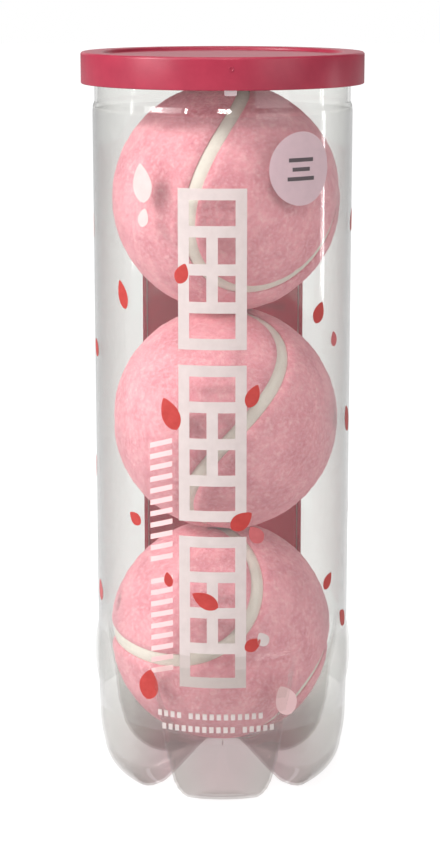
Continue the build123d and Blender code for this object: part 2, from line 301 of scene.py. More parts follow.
def wrapped(name, patches, radius, thick, slot, material, replaces=()):
    """Patches are grids of (across, up) points, in metres along the sleeve's surface."""
    verts, faces = [], []
    for patch in patches:
        grid = np.array(patch, float)
        rows, cols = grid.shape[:2]
        for r in (radius, radius + thick):
            angle = grid[:, :, 0] / radius
            layer = np.stack([r * np.sin(angle), -r * np.cos(angle), grid[:, :, 1]], axis=-1)
            verts.append(layer.reshape(-1, 3))
        start = sum(len(v) for v in verts[:-2])
        count = rows * cols
        lower = grid_quads(rows, cols, wrap_cols=False, start=start)
        faces += [f[::-1] for f in lower] + [tuple(i + count for i in f) for f in lower]
        rim = [start + c for c in range(cols)]
        rim += [start + r * cols + cols - 1 for r in range(1, rows)]
        rim += [start + (rows - 1) * cols + c for c in range(cols - 2, -1, -1)]
        rim += [start + r * cols for r in range(rows - 2, 0, -1)]
        for a, b in zip(rim, rim[1:] + rim[:1]):
            faces.append((a, b, b + count, a + count))
    return add_piece(name, np.vstack(verts), faces, "can", slot, material, replaces)


def bar_patch(x0, y0, x1, y1):
    """An upright bar, with columns close enough to bend round the sleeve."""
    cols = int(abs(x1 - x0) / (1.2 * MM)) + 2
    rows = int(abs(y1 - y0) / (4 * MM)) + 2
    share = np.linspace(0, 1, rows)[:, None]
    across = np.repeat(np.linspace(x0, x1, cols)[None, :], rows, axis=0)
    return np.stack([across, np.repeat(y0 + (y1 - y0) * share, cols, axis=1)], axis=-1)


def petal_patch(x, y, length, width, lean):
    """A petal: two bowed sides that meet at a point, with a rounded head."""
    t = np.linspace(0, 1, 22)[:, None]
    side = np.linspace(-1, 1, 9)[None, :]
    half = width / 2 * np.sin(math.pi * t**0.8) ** 0.75
    along = (t - 0.5) * length
    across = half * side
    c, s = math.cos(lean), math.sin(lean)
    return np.stack([x + across * c - along * s, y + across * s + along * c], axis=-1)


def disc_patch(x, y, radius):
    """A round patch as rings from its middle."""
    ring = np.linspace(0.02, 1, 14)[:, None] * radius
    turn = np.linspace(0, 2 * math.pi, 65)[None, :]
    return np.stack([x + ring * np.sin(turn), y + ring * np.cos(turn)], axis=-1)


def court_patches(left, bottom, width, height, stroke):
    """A plan of a tennis court, standing on end."""
    right, top = left + width, bottom + height
    middle, net = left + width / 2, bottom + height / 2
    service = height * 0.235
    half = stroke / 2
    bars = [(left, bottom, left + stroke, top), (right - stroke, bottom, right, top)]
    inner = (left + stroke, right - stroke)
    for y in (bottom + half, net - service, net, net + service, top - half):
        bars.append((inner[0], y - half, inner[1], y + half))
    for low in (net - service + half, net + half):
        bars.append((middle - half, low, middle + half, low + service - stroke))
    return [bar_patch(*bar) for bar in bars]


PRINT_R = SLEEVE_R + 0.015 * MM
PRINT_T = 0.03 * MM
LAY = 0.02 * MM  # between the sleeve and what is stuck on it
COURT_LEFT = -12.6 * MM
COURT_W = 19.4 * MM
COURT_H = 45.0 * MM
COURT_GAP = 4.4 * MM
COURT_LOW = 38.4 * MM
COURT_STROKE = 3.2 * MM

# Slanted bars beside the courts, with one left out
BAR_COUNT = 21
BAR_LEFT_OUT = 9
BAR_LEFT = -21.8 * MM
BAR_LOW = 41.0 * MM
BAR_STEP = 3.35 * MM
BAR_W = 7.2 * MM
BAR_H = 1.5 * MM
BAR_RISE = 0.30

# Rows of dashes at the foot: left, low, dashes in each group
DASH_ROWS = ((-19.6 * MM, 28.7 * MM, (4, 11)), (-18.2 * MM, 24.8 * MM, (11, 5)))
DASH_STEP = 2.05 * MM
DASH_W = 1.25 * MM
DASH_H = 1.8 * MM
DASH_SPACE = 1.5 * MM

# Scattered petals: across, up, length, width in mm, lean in degrees, colour
PETALS = (
    (-32.0, 151.0, 8.5, 3.9, 18, "red"),
    (-11.5, 158.5, 6.0, 4.0, -20, "red"),
    (30.5, 146.0, 6.5, 4.4, -25, "red"),
    (38.0, 137.5, 4.6, 3.2, 10, "rose"),
    (-15.2, 118.5, 9.8, 5.6, 24, "red"),
    (8.6, 124.0, 7.0, 4.0, -24, "red"),
    (5.4, 88.0, 7.4, 4.8, -52, "red"),
    (9.6, 83.8, 5.8, 4.2, 35, "rose"),
    (-27.5, 86.5, 5.0, 3.6, 55, "red"),
    (-16.0, 70.0, 4.4, 2.8, 12, "red"),
    (-5.0, 64.5, 8.4, 4.6, 62, "red"),
    (8.8, 51.2, 5.4, 3.8, -58, "red"),
    (11.8, 52.6, 4.6, 3.6, 30, "white"),
    (-22.8, 37.4, 9.4, 6.8, -10, "red"),
    (-24.0, 183.0, 11.0, 6.6, 6, "white"),
    (-23.6, 173.4, 5.4, 3.6, -14, "white"),
    (19.2, 33.2, 9.8, 7.0, 24, "pale"),
    (-51.0, 133.0, 6.0, 4.2, 40, "red"),
    (-58.0, 96.0, 8.0, 5.0, -30, "red"),
    (-49.0, 60.0, 6.4, 4.4, 20, "rose"),
    (55.0, 170.0, 7.4, 4.8, -36, "red"),
    (50.0, 112.0, 8.6, 5.2, 22, "red"),
    (59.0, 84.0, 5.2, 3.6, -12, "white"),
    (47.0, 52.0, 7.0, 4.6, 44, "red"),
    (-56.0, 168.0, 8.2, 5.2, -22, "white"),
    (36.0, 66.0, 5.6, 3.8, -40, "red"),
)


def make_prints(inks):
    """The sleeve's generic print: tennis-court plans, bars, dashes and scattered petals."""
    courts = []
    for k in range(3):
        low = COURT_LOW + k * (COURT_H + COURT_GAP)
        courts += court_patches(COURT_LEFT, low, COURT_W, COURT_H, COURT_STROKE)
    wrapped("court_print", courts, PRINT_R, PRINT_T, "clear_film", inks["white"])
    bars = []
    for k in range(BAR_COUNT):
        if k == BAR_LEFT_OUT:
            continue
        low = BAR_LOW + k * BAR_STEP
        bar = bar_patch(BAR_LEFT, low, BAR_LEFT + BAR_W, low + BAR_H)
        bar[:, :, 1] += (bar[:, :, 0] - BAR_LEFT) * BAR_RISE
        bars.append(bar)
    wrapped("speed_bars", bars, PRINT_R, PRINT_T, "clear_film", inks["pale"])
    dashes = []
    for left, low, words in DASH_ROWS:
        for word in words:
            for k in range(word):
                x = left + k * DASH_STEP
                dashes.append(bar_patch(x, low, x + DASH_W, low + DASH_H))
            left += word * DASH_STEP + DASH_SPACE
    wrapped("dash_rows", dashes, PRINT_R, PRINT_T, "clear_film", inks["white"])
    for ink in ("red", "rose", "white", "pale"):
        patches = []
        for x, y, length, width, lean, colour in PETALS:
            if colour == ink:
                size = (x * MM, y * MM, length * MM, width * MM)
                patches.append(petal_patch(*size, math.radians(lean)))
        wrapped(f"petals_{ink}", patches, PRINT_R, 1.4 * PRINT_T, "clear_film", inks[ink])


PAPER_T = 0.08 * MM
INK_LIFT = 0.09 * MM  # the ink's underside above the paper's
INK_T = 0.02 * MM

# The sticker's bars, from the middle of the sticker
STICKER_BARS = (4.2 * MM, 3.0 * MM, 4.6 * MM)  # half of each length
STICKER_BAR_UP = 1.9 * MM
STICKER_BAR_STEP = 2.6 * MM
STICKER_BAR_H = 1.1 * MM


def make_sticker(material, ink):
    """Round sticker with three plain bars, on the CAD sticker's place."""
    low, high = STICKER_LOW, STICKER_HIGH
    across = math.atan2((low.x + high.x) / 2, -(low.y + high.y) / 2) * SLEEVE_R
    up = (low.z + high.z) / 2
    radius = (high.z - low.z) / 2
    base = SLEEVE_R + LAY
    disc = [disc_patch(across, up, radius)]
    wrapped("sticker_disc", disc, base, PAPER_T, "sticker", material, ["round_sticker"])
    bars = []
    for k, half in enumerate(STICKER_BARS):
        y = up + STICKER_BAR_UP - k * STICKER_BAR_STEP
        bars.append(bar_patch(across - half, y, across + half, y + STICKER_BAR_H))
    wrapped("sticker_bars", bars, base + INK_LIFT, INK_T, "sticker", ink)


KEY_INSET = 1.4 * MM
KEY_W = 0.45 * MM
TEXT_ROWS = 14
TEXT_LONG = (38 * MM, 34 * MM, 36 * MM, 22 * MM)  # lengths of the rows, over and over
TEXT_HALF = 20 * MM
TEXT_DROP = 24 * MM
TEXT_STEP = 5.2 * MM
TEXT_H = 1.5 * MM


def make_back_label(material, ink):
    """Label on the back: a keyline, seen from inside the can too, and rows of plain bars."""
    base = SLEEVE_R + LAY
    half = math.asin(BACK_HIGH.x / (SLEEVE_R + 0.1 * MM)) * SLEEVE_R
    middle = math.pi * SLEEVE_R
    low, high = BACK_LOW.z, BACK_HIGH.z
    panel = [bar_patch(middle - half, low, middle + half, high)]
    wrapped("back_panel", panel, base, PAPER_T, "label_print", material, ["back_label"])
    left, right = middle - half + KEY_INSET, middle + half - KEY_INSET
    foot, head = low + KEY_INSET, high - KEY_INSET
    lines = [(left, foot, left + KEY_W, head), (right - KEY_W, foot, right, head)]
    lines.append((left + KEY_W, foot, right - KEY_W, foot + KEY_W))
    lines.append((left + KEY_W, head - KEY_W, right - KEY_W, head))
    frames = [bar_patch(*line) for line in lines]
    wrapped("back_keyline_in", frames, base - 0.012 * MM, 0.008 * MM, "label_print", ink)
    wrapped("back_keyline_out", frames, base + INK_LIFT, INK_T, "label_print", ink)
    rows = []
    left = middle - TEXT_HALF
    for k in range(TEXT_ROWS):
        y = high - TEXT_DROP - k * TEXT_STEP
        rows.append(bar_patch(left, y, left + TEXT_LONG[k % len(TEXT_LONG)], y + TEXT_H))
    wrapped("back_text_bars", rows, base + INK_LIFT, INK_T, "label_print", ink)


# Aluminium end

SHEET_T = 0.3 * MM
SEAM_H = 3.0 * MM
SCORE_GAP = 0.25 * MM
GROOVE_INSET = 6.35 * MM  # from the panel's edge to the middle of its groove


def make_end(material, compound):
    """Ring double-seamed over the flange, and the compound in the crown of the seam."""
    foot = RING_HIGH.z - SEAM_H
    mouth = PANEL_R + SCORE_GAP
    z0, z1, top = RING_LOW.z, RING_LOW.z + SHEET_T, RING_HIGH.z
    outline = rounded(
        [
            (mouth, z0),
            (CHUCK_R, z0, 0.55 * MM),
            (CHUCK_R, top - SHEET_T, 0.12 * MM),
            (SEAM_R - SHEET_T, top - SHEET_T, 0.3 * MM),
            (SEAM_R - SHEET_T, foot + SHEET_T, 0.1 * MM),
            (NECK_R + 0.05 * MM, foot + SHEET_T),
            (NECK_R + 0.05 * MM, foot),
            (SEAM_R, foot, 0.35 * MM),
            (SEAM_R, top, 0.65 * MM),
            (CHUCK_R - SHEET_T, top, 0.5 * MM),
            (CHUCK_R - SHEET_T, z1, 0.4 * MM),
            (mouth, z1),
        ]
    )
    turned_piece("seamed_ring", outline, "can", "aluminium", material, ["end_ring"])
    low, high = CAN_HIGH.z, top - SHEET_T
    inner, outer = NECK_R - NECK_WALL, FLANGE_R
    bead = rounded([(inner, low), (outer, low), (outer, high, 0.15 * MM), (inner, high, 0.15 * MM)])
    turned_piece("compound_bead", bead, "can", "compound", compound, ["seam_compound"])


def make_panel(material):
    """The panel that tears out, with its stiffening groove."""
    top = PANEL_HIGH.z
    groove, wide, deep = PANEL_R - GROOVE_INSET, 0.8 * MM, 0.5 * MM
    line = [(0, top), (groove - 2 * wide, top, 0.3 * MM), (groove, top - deep, 0.5 * MM)]
    line += [(groove + 2 * wide, top, 0.3 * MM), (PANEL_R, top)]
    face = rounded(line, closed=False)
    outline = face + [(r, z - SHEET_T) for r, z in reversed(face)]
    return turned_disc("score_panel", outline, "tear_panel", "aluminium", material, ["tear_panel"])


# Overcap

CAP_SKIRT = 9.0 * MM
CAP_WALL = 0.9 * MM
CAP_ROOF = 1.1 * MM
CAP_DISH = 1.0 * MM  # how far the roof's middle lies below its rim
BEAD_DROP = 3.6 * MM  # from the rim's underside to the retaining bead
BEAD_H = 1.6 * MM
BEAD_IN = 0.6 * MM
LUG_X = 2.2 * MM  # round the skirt from the front
LUG_W = 3.4 * MM
LUG_H = 1.4 * MM
LUG_ROOT = 0.2 * MM  # how far the lug runs up into the skirt
NUB_X = 2.4 * MM
NUB_DROP = 3.2 * MM  # from the overcap's top


def make_overcap(material, pale):
    """Push-on cap: raised rim, dished roof, retaining bead, lift lug and gate mark."""
    top, foot = CAP_HIGH.z, CAP_HIGH.z - CAP_SKIRT
    roof = top - CAP_ROOF
    plug = CHUCK_R - 0.7 * MM
    inside = CAP_R - CAP_WALL
    bead = roof - BEAD_DROP
    soft = 0.75 * MM
    outline = [
        (0, roof - CAP_DISH),
        (plug, roof - CAP_DISH, 0.3 * MM),
        (plug, roof, 0.15 * MM),
        (inside, roof, 0.2 * MM),
        (inside, bead, 0.2 * MM),
        (inside - BEAD_IN, bead - BEAD_H / 2, 0.4 * MM),
        (inside, bead - BEAD_H, 0.2 * MM),
        (inside, foot, 0.25 * MM),
        (CAP_R, foot, 0.35 * MM),
        (CAP_R, top, soft),
        (plug - CAP_WALL, top, soft),
        (plug - CAP_WALL, top - CAP_DISH, 0.5 * MM),
        (0, top - CAP_DISH),
    ]
    outline = rounded(outline, closed=False)
    turned_disc("push_on_cap", outline, "overcap", "cap_plastic", material, ["overcap"])
    lug = lift_lug(foot - LUG_H, CAP_R - 0.8 * MM, CAP_R - 0.1 * MM)
    add_piece("cap_lift_lug", *lug, "overcap", "cap_plastic", pale)
    nub = gate_nub(top - NUB_DROP, 0.9 * MM)
    add_piece("cap_gate_nub", *nub, "overcap", "cap_plastic", material)


def lift_lug(low, near, far):
    """The lug under the skirt, rounded at its foot and bent to the skirt, as vertices and faces."""
    half, top, soft = LUG_W / 2, LUG_H + LUG_ROOT, 0.5 * MM
    edge = rounded([(-half, 0, soft), (half, 0, soft), (half, top), (-half, top)], steps=5)
    verts = []
    for radius in (near, far):
        for x, z in edge:
            angle = (LUG_X + x) / far
            verts.append((radius * math.sin(angle), -radius * math.cos(angle), low + z))
    count = len(edge)
    faces = [tuple(range(count - 1, -1, -1)), tuple(range(count, 2 * count))]
    for a in range(count):
        b = (a + 1) % count
        faces.append((a, b, b + count, a + count))
    return verts, faces


def gate_nub(height, radius):
    """A low dome with a small crater, left on the skirt by the mould's gate."""
    profile = [(0.35, 0.08), (0.55, 0.24), (0.8, 0.20), (1.0, -0.15)]  # share of radius, rise in mm
    steps = 24
    verts = []
    for share, rise in profile:
        for k in range(steps):
            turn = 2 * math.pi * k / steps
            x, z = share * radius * math.cos(turn), share * radius * math.sin(turn)
            angle = (NUB_X + x) / CAP_R
            reach = CAP_R + (rise - 0.12) * MM
            verts.append((reach * math.sin(angle), -reach * math.cos(angle), height + z))
    faces = grid_quads(len(profile), steps)
    last = (len(profile) - 1) * steps
    faces += [tuple(range(steps)), tuple(range(last + steps - 1, last - 1, -1))]
    return verts, faces


# Balls

BALLS = ("ball_bottom", "ball_middle", "ball_top")
BALL_TURNS = ((-85, -34, -88), (166, -43, -11), (153, -27, 8))  # how each ball lies, degrees
BALL_R = 32.7 * MM
NAP_R = 33.2 * MM  # over the raised nap
FELT_IN_R = 29.5 * MM
SEAM_W = 4.0 * MM
SEAM_WAVE = 0.25
EDGE_W = 2.4 * MM  # how far the felt rolls down towards the seam
EDGE_DROP = 0.9 * MM
BORE_R = TUBE_R - WALL


def seam_line(count):
    """Points of the seam's middle on a unit sphere, and the direction across it at each."""
    turn = np.linspace(0, 2 * math.pi, count, endpoint=False)
    wide, wave = 1 - SEAM_WAVE, SEAM_WAVE
    tall = 2 * math.sqrt(wide * wave)
    c, s, c3, s3 = np.cos(turn), np.sin(turn), np.cos(3 * turn), np.sin(3 * turn)
    place = np.stack([wide * c + wave * c3, wide * s - wave * s3, tall * np.sin(2 * turn)], -1)
    dx, dy = -wide * s - 3 * wave * s3, wide * c - 3 * wave * c3
    out = np.cross(place, np.stack([dx, dy, 2 * tall * np.cos(2 * turn)], -1))
    return place, out / np.linalg.norm(out, axis=1, keepdims=True)


def seam_distance(dirs):
    """Signed distance of each direction from the seam's middle line, along the ball."""
    place, out = seam_line(1440)
    near = np.concatenate([np.argmax(part @ place.T, axis=1) for part in np.array_split(dirs, 40)])
    return BALL_R * np.arcsin(np.clip(np.sum(dirs * out[near], axis=1), -1, 1))


def unit_sphere(level):
    """Vertices and triangles of an icosphere."""
    work = bmesh.new()
    bmesh.ops.create_icosphere(work, subdivisions=level, radius=1)
    verts = np.array([v.co for v in work.verts])
    tris = np.array([[v.index for v in f.verts] for f in work.faces])
    work.free()
    return verts / np.linalg.norm(verts, axis=1, keepdims=True), tris


def kept_side(verts, tris, level):
    """The part of a sphere's mesh where level is above 0, cut along its zero line."""
    inside = level[tris] > 0
    count = inside.sum(axis=1)
    faces = [tuple(t) for t in tris[count == 3]]
    verts, level, cuts = list(verts), list(level), {}

    def cut(a, b):
        key = (min(a, b), max(a, b))
        if key not in cuts:
            share = level[a] / (level[a] - level[b])
            point = verts[a] * (1 - share) + verts[b] * share
            cuts[key] = len(verts)
            verts.append(point / np.linalg.norm(point))
            level.append(0.0)
        return cuts[key]

    for tri in tris[(count == 1) | (count == 2)]:
        loop = []
        for a, b in zip(tri, np.roll(tri, -1)):
            if level[a] > 0:
                loop.append(a)
            if (level[a] > 0) != (level[b] > 0):
                loop.append(cut(a, b))
        faces.append(tuple(loop))
    used = sorted({i for f in faces for i in f})
    place = {old: new for new, old in enumerate(used)}
    faces = [tuple(place[i] for i in f) for f in faces]
    return np.array([verts[i] for i in used]), faces, np.array([level[i] for i in used])


def rim_edges(faces):
    """Edges that belong to one face only, in that face's direction."""
    edges = {(a, b) for f in faces for a, b in zip(f, f[1:] + f[:1])}
    return [(a, b) for a, b in edges if (b, a) not in edges]


def nap_height(dirs, seed):
    """Uneven height of brushed felt, from broad swells down to single tufts."""
    scales = ((2.2, 0.16), (7.0, 0.14), (19.0, 0.14), (46.0, 0.14), (95.0, 0.10))
    offset = Vector((3.7 * seed, 1.9 * seed, 5.3 * seed))
    height = np.zeros(len(dirs))
    for scale, size in scales:
        points = (Vector(d) * scale + offset for d in dirs)
        height += size * MM * np.array([noise.noise(p) for p in points])
    return height


def settled(points, ball):
    """Ball points pressed in where the ball touches its neighbours or the dome below it."""
    slack = 0.05 * MM
    for other in (ball - 1, ball + 1):
        if 0 <= other < len(BALLS):
            middle = (CENTRES[ball] + CENTRES[other]) / 2
            axis = Vector(CENTRES[other] - CENTRES[ball]).normalized()
            over = (points - middle) @ np.array(axis) + slack
            points = points - np.outer(np.maximum(over, 0), axis)
    dome = np.array((0, 0, DOME_Z))
    reach = np.linalg.norm(points - dome, axis=1)
    limit = np.where(points[:, 2] < DOME_Z, BORE_R - 2 * slack, 1.0)
    share = np.minimum(1, limit / np.maximum(reach, TINY))
    return dome + (points - dome) * share[:, None]


def ball_centre(name):
    low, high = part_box(name + "_core_a")
    other_low, other_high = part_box(name + "_core_b")
    return (np.minimum(low, other_low) + np.maximum(high, other_high)) / 2


CENTRES = [ball_centre(name) for name in BALLS]


def ball_turn(ball):
    x, y, z = (math.radians(a) for a in BALL_TURNS[ball])
    turn = Matrix.Rotation(x, 3, "X") @ Matrix.Rotation(y, 3, "Y") @ Matrix.Rotation(z, 3, "Z")
    return np.array(turn)


def make_felt(ball, part, side, sphere, material):
    """One dumb-bell of felt: brushed outside, rolled edge along the seam, plain underside."""
    dirs, tris, distance = sphere
    dirs, faces, level = kept_side(dirs, tris, side * distance - SEAM_W / 2)
    roll = np.clip(level / EDGE_W, 0, 1)
    radius = NAP_R - EDGE_DROP * (1 - roll) ** 2 + nap_height(dirs, ball + 1) * (0.35 + 0.65 * roll)
    turn = ball_turn(ball)
    outer = settled(CENTRES[ball] + (dirs * radius[:, None]) @ turn.T, ball)
    inner = CENTRES[ball] + (dirs * FELT_IN_R) @ turn.T
    count = len(dirs)
    closed = faces + [tuple(i + count for i in reversed(f)) for f in faces]
    closed += [(b, a, a + count, b + count) for a, b in rim_edges(faces)]
    name = BALLS[ball]
    verts = np.vstack([outer, inner])
    add_piece(f"{name}_{part}_nap", verts, closed, name, "felt", material, [f"{name}_{part}"], 50)


def make_seam(ball, material):
    """Rubber seam: a slightly crowned strip between the two felts."""
    place, out = seam_line(480)
    half = (SEAM_W / 2 - 0.03 * MM) / BALL_R
    top = [(s, BALL_R - (0.55 + 0.3 * s * s) * MM) for s in np.linspace(-1, 1, 11)]
    foot = [(1, FELT_IN_R), (0, FELT_IN_R), (-1, FELT_IN_R)]
    rows = [(place * math.cos(s * half) + out * math.sin(s * half)) * r for s, r in top + foot]
    points = CENTRES[ball] + np.vstack(rows) @ ball_turn(ball).T
    faces = grid_quads(len(rows), len(place), wrap_rows=True)
    name = BALLS[ball]
    verts = settled(points, ball)
    nodes = [f"{name}_seam"]
    add_piece(f"{name}_seam_strip", verts, faces, name, "seam_rubber", material, nodes, 50)


def make_balls(felt, rubber, core):
    dirs, tris = unit_sphere(7)
    sphere = (dirs, tris, seam_distance(dirs))
    lower = dirs[sphere[2] > 0][:, 2].mean() < 0
    for ball, name in enumerate(BALLS):
        for part, side in (("felt_a", -1 if lower else 1), ("felt_b", 1 if lower else -1)):
            make_felt(ball, part, side, sphere, felt)
        make_seam(ball, rubber)
        for half in ("core_a", "core_b"):
            finish_node(f"{name}_{half}", core)


def finish_node(name, material):
    """A CAD node that keeps its own shape and gets its finish."""
    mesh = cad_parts[name].data
    mesh.materials.clear()
    mesh.materials.append(material)


# Materials


def new_material(name):
    material = bpy.data.materials.new(name)
    material.use_nodes = True
    material.node_tree.nodes.clear()
    return material, material.node_tree


def add_node(tree, kind, inputs=None, **settings):
    """A shader node with its settings, and its inputs set to values or linked to sockets."""
    node = tree.nodes.new(kind)
    for key, value in settings.items():
        setattr(node, key, value)
    for key, value in (inputs or {}).items():
        if isinstance(value, bpy.types.NodeSocket):
            tree.links.new(value, node.inputs[key])
        else:
            node.inputs[key].default_value = value
    return node


def place_of(tree):
    """Position in the frame, which every piece shares."""
    return add_node(tree, "ShaderNodeTexCoord").outputs["Object"]


def texture(tree, scale, detail=3.0, rough=0.6, stretch=None):
    """Noise from 0 to 1, with scale in waves for each metre."""
    where = place_of(tree)
    if stretch:
        sizes = {"Vector": where, "Scale": stretch}
        where = add_node(tree, "ShaderNodeMapping", sizes).outputs["Vector"]
    inputs = {"Vector": where, "Scale": scale, "Detail": detail, "Roughness": rough}
    return add_node(tree, "ShaderNodeTexNoise", inputs).outputs["Fac"]


def ramp(tree, value, low, high, start=0.3, end=0.7):
    """A colour or grey that runs from low to high as value goes from start to end."""
    node = add_node(tree, "ShaderNodeValToRGB", {"Fac": value})
    stops = node.color_ramp.elements
    for stop, position, colour in ((stops[0], start, low), (stops[1], end, high)):
        stop.position = position
        stop.color = (*colour, 1) if isinstance(colour, tuple) else (colour, colour, colour, 1)
    return node.outputs["Color"]


def bump(tree, height, strength, distance):
    inputs = {"Height": height, "Strength": strength, "Distance": distance}
    return add_node(tree, "ShaderNodeBump", inputs).outputs["Normal"]


def end_with(tree, shader):
    add_node(tree, "ShaderNodeOutputMaterial", {"Surface": shader.outputs[0]})


def base_share(tree):
    """1 in the thick base of the container, where its painted shade and extra haze go, and 0 above
    it.
    """
    height = add_node(tree, "ShaderNodeSeparateXYZ", {"Vector": place_of(tree)}).outputs["Z"]
    span = {"Value": height, "From Min": 0.036, "From Max": 0.009}
    fade = add_node(tree, "ShaderNodeMapRange", span, interpolation_type="SMOOTHSTEP")
    return fade.outputs["Result"]


def base_painted_tint(tree):
    """Painted shade for the thick, refracting feet: grey near the wall, and rosier towards the
    axis, a painted see-through colour of the ball that shines through there.
    """
    flat = add_node(tree, "ShaderNodeMapping", {"Vector": place_of(tree), "Scale": (1, 1, 0)})
    reach = add_node(tree, "ShaderNodeVectorMath", {0: flat.outputs[0]}, operation="LENGTH")
    span = {"Value": reach.outputs["Value"], "From Min": 0.016, "From Max": 0.034}
    share = add_node(tree, "ShaderNodeMapRange", span).outputs["Result"]
    return mix_colour(tree, share, (0.905, 0.835, 0.85, 1), (0.91, 0.905, 0.90, 1))


def mix_colour(tree, share, low, high):
    node = add_node(tree, "ShaderNodeMix", data_type="RGBA")
    for index, value in ((0, share), (6, low), (7, high)):
        if isinstance(value, bpy.types.NodeSocket):
            tree.links.new(value, node.inputs[index])
        else:
            node.inputs[index].default_value = value
    return node.outputs[2]


def clear_plastic(name, see, edge, gloss, haze, ripple, base_haze_and_shade=0.0):
    """Clear wall: tinted darker towards grazing, a painted shade for the grey outlines at its
    edges; mirror-like by Schlick's rule, with a faint haze.

    With the last argument above 0 the container's base gets a painted shade, a greyer and rosier
    tint for its thick, refracting feet, and is hazier by that much.
    """
    material, tree = new_material(name)
    facing = add_node(tree, "ShaderNodeLayerWeight", {"Blend": 0.5}).outputs["Facing"]
    # Painted shade: the see-through tint darkens towards grazing, standing in for the grey outlines
    # the curved wall shows at its edges.
    tint = ramp(tree, facing, see, edge, 0.35, 1.0)
    normal = bump(tree, texture(tree, 38, 2, 0.4, (1, 1, 0.3)), 0.25, ripple)
    # Painted shade: in the base the tint is multiplied by a greyer, rosier tint standing in for
    # refraction through the thick feet and the ball seen through them.
    if base_haze_and_shade:
        share = base_share(tree)
        tint_and_painted_shade = add_node(tree, "ShaderNodeMix", data_type="RGBA", blend_type="MULTIPLY")
        tree.links.new(share, tint_and_painted_shade.inputs[0])
        tree.links.new(tint, tint_and_painted_shade.inputs[6])
        tree.links.new(base_painted_tint(tree), tint_and_painted_shade.inputs[7])
        tint = tint_and_painted_shade.outputs[2]
        more = {0: share, 1: base_haze_and_shade, 2: haze}  # share * cloud + haze
        haze = add_node(tree, "ShaderNodeMath", more, operation="MULTIPLY_ADD").outputs[0]
    through = add_node(tree, "ShaderNodeBsdfTransparent", {"Color": tint})
    shade = {"Color": (0.66, 0.60, 0.61, 1), "Normal": normal}
    milk = add_node(tree, "ShaderNodeBsdfDiffuse", shade)
    layers = {"Fac": haze, 1: through.outputs[0], 2: milk.outputs[0]}
    body = add_node(tree, "ShaderNodeMixShader", layers)
    rough = ramp(tree, texture(tree, 60), gloss, gloss * 1.8)
    shine = {"Color": (1, 1, 1, 1), "Roughness": rough, "Normal": normal}
    mirror = add_node(tree, "ShaderNodeBsdfGlossy", shine)
    fifth = add_node(tree, "ShaderNodeMath", {0: facing, 1: 5.0}, operation="POWER")
    share = {0: fifth.outputs[0], 1: 0.9, 2: 0.022}
    fresnel = add_node(tree, "ShaderNodeMath", share, operation="MULTIPLY_ADD")
    inputs = {"Fac": fresnel.outputs[0], 1: body.outputs[0], 2: mirror.outputs[0]}
    end_with(tree, add_node(tree, "ShaderNodeMixShader", inputs))
    return material


def principled(tree, **inputs):
    named = {key.replace("_", " "): value for key, value in inputs.items()}
    return add_node(tree, "ShaderNodeBsdfPrincipled", named)


def felt_material():
    """Brushed felt: mottled dye, pale fibre tips and sheen."""
    material, tree = new_material("pink_felt")
    mottle = texture(tree, 110, 6, 0.75)
    broad = ramp(tree, mottle, (0.68, 0.225, 0.28), (0.90, 0.39, 0.44), 0.34, 0.66)
    fibre = texture(tree, 900, 5, 0.75)
    tips = ramp(tree, fibre, 0.0, 0.65, 0.46, 0.68)
    pale = (0.95, 0.60, 0.62, 1)
    colour = mix_colour(tree, tips, broad, pale)
    normal = bump(tree, fibre, 0.55, 0.0006)
    shader = principled(tree, Base_Color=colour, Roughness=0.95, Normal=normal)
    shader.inputs["Sheen Weight"].default_value = 0.12
    shader.inputs["Sheen Roughness"].default_value = 0.5
    shader.inputs["Specular IOR Level"].default_value = 0.1
    end_with(tree, shader)
    return material


def plain_material(name, low, high, scale, rough, bumps, metal=0.0):
    """A finish with a little colour, roughness and surface variation."""
    material, tree = new_material(name)
    grain = texture(tree, scale, 4, 0.65)
    colour = ramp(tree, grain, low, high)
    roughness = ramp(tree, grain, rough * 0.85, rough * 1.15)
    normal = bump(tree, grain, 0.3, bumps)
    shader = principled(tree, Base_Color=colour, Roughness=roughness, Normal=normal, Metallic=metal)
    end_with(tree, shader)
    return material


def print_material(name, low, high, rough=0.42, glow=0.4):
    """Ink, film or paper that light comes through from behind."""
    material, tree = new_material(name)
    grain = texture(tree, 300, 4, 0.65)
    colour = ramp(tree, grain, low, high)
    roughness = ramp(tree, grain, rough * 0.85, rough * 1.15)
    normal = bump(tree, grain, 0.3, 0.00002)
    solid = principled(tree, Base_Color=colour, Roughness=roughness, Normal=normal)
    through = add_node(tree, "ShaderNodeBsdfTranslucent", {"Color": colour})
    inputs = {"Fac": glow, 1: solid.outputs[0], 2: through.outputs[0]}
    end_with(tree, add_node(tree, "ShaderNodeMixShader", inputs))
    return material


def cap_material():
    """Translucent raspberry plastic that glows where light comes through it."""
    material, tree = new_material("raspberry_cap")
    grain = texture(tree, 160, 4, 0.6)
    colour = ramp(tree, grain, (0.35, 0.026, 0.058), (0.41, 0.034, 0.07))
    normal = bump(tree, grain, 0.15, 0.0002)
    solid = principled(tree, Base_Color=colour, Roughness=0.32, Normal=normal)
    glow_colour = ramp(tree, grain, (0.52, 0.06, 0.12), (0.58, 0.075, 0.14))
    glow = add_node(tree, "ShaderNodeBsdfTranslucent", {"Color": glow_colour, "Normal": normal})
    inputs = {"Fac": 0.35, 1: solid.outputs[0], 2: glow.outputs[0]}
    end_with(tree, add_node(tree, "ShaderNodeMixShader", inputs))
    return material


# Camera, floor and light


def add_light(name, place, target, size, height, power):
    data = bpy.data.lights.new(name, "AREA")
    data.shape = "RECTANGLE"
    data.size, data.size_y, data.energy = size, height, power
    lamp = bpy.data.objects.new(name, data)
    lamp.location = place
    lamp.rotation_euler = (Vector(target) - Vector(place)).to_track_quat("-Z", "Y").to_euler()
    bpy.context.scene.collection.objects.link(lamp)


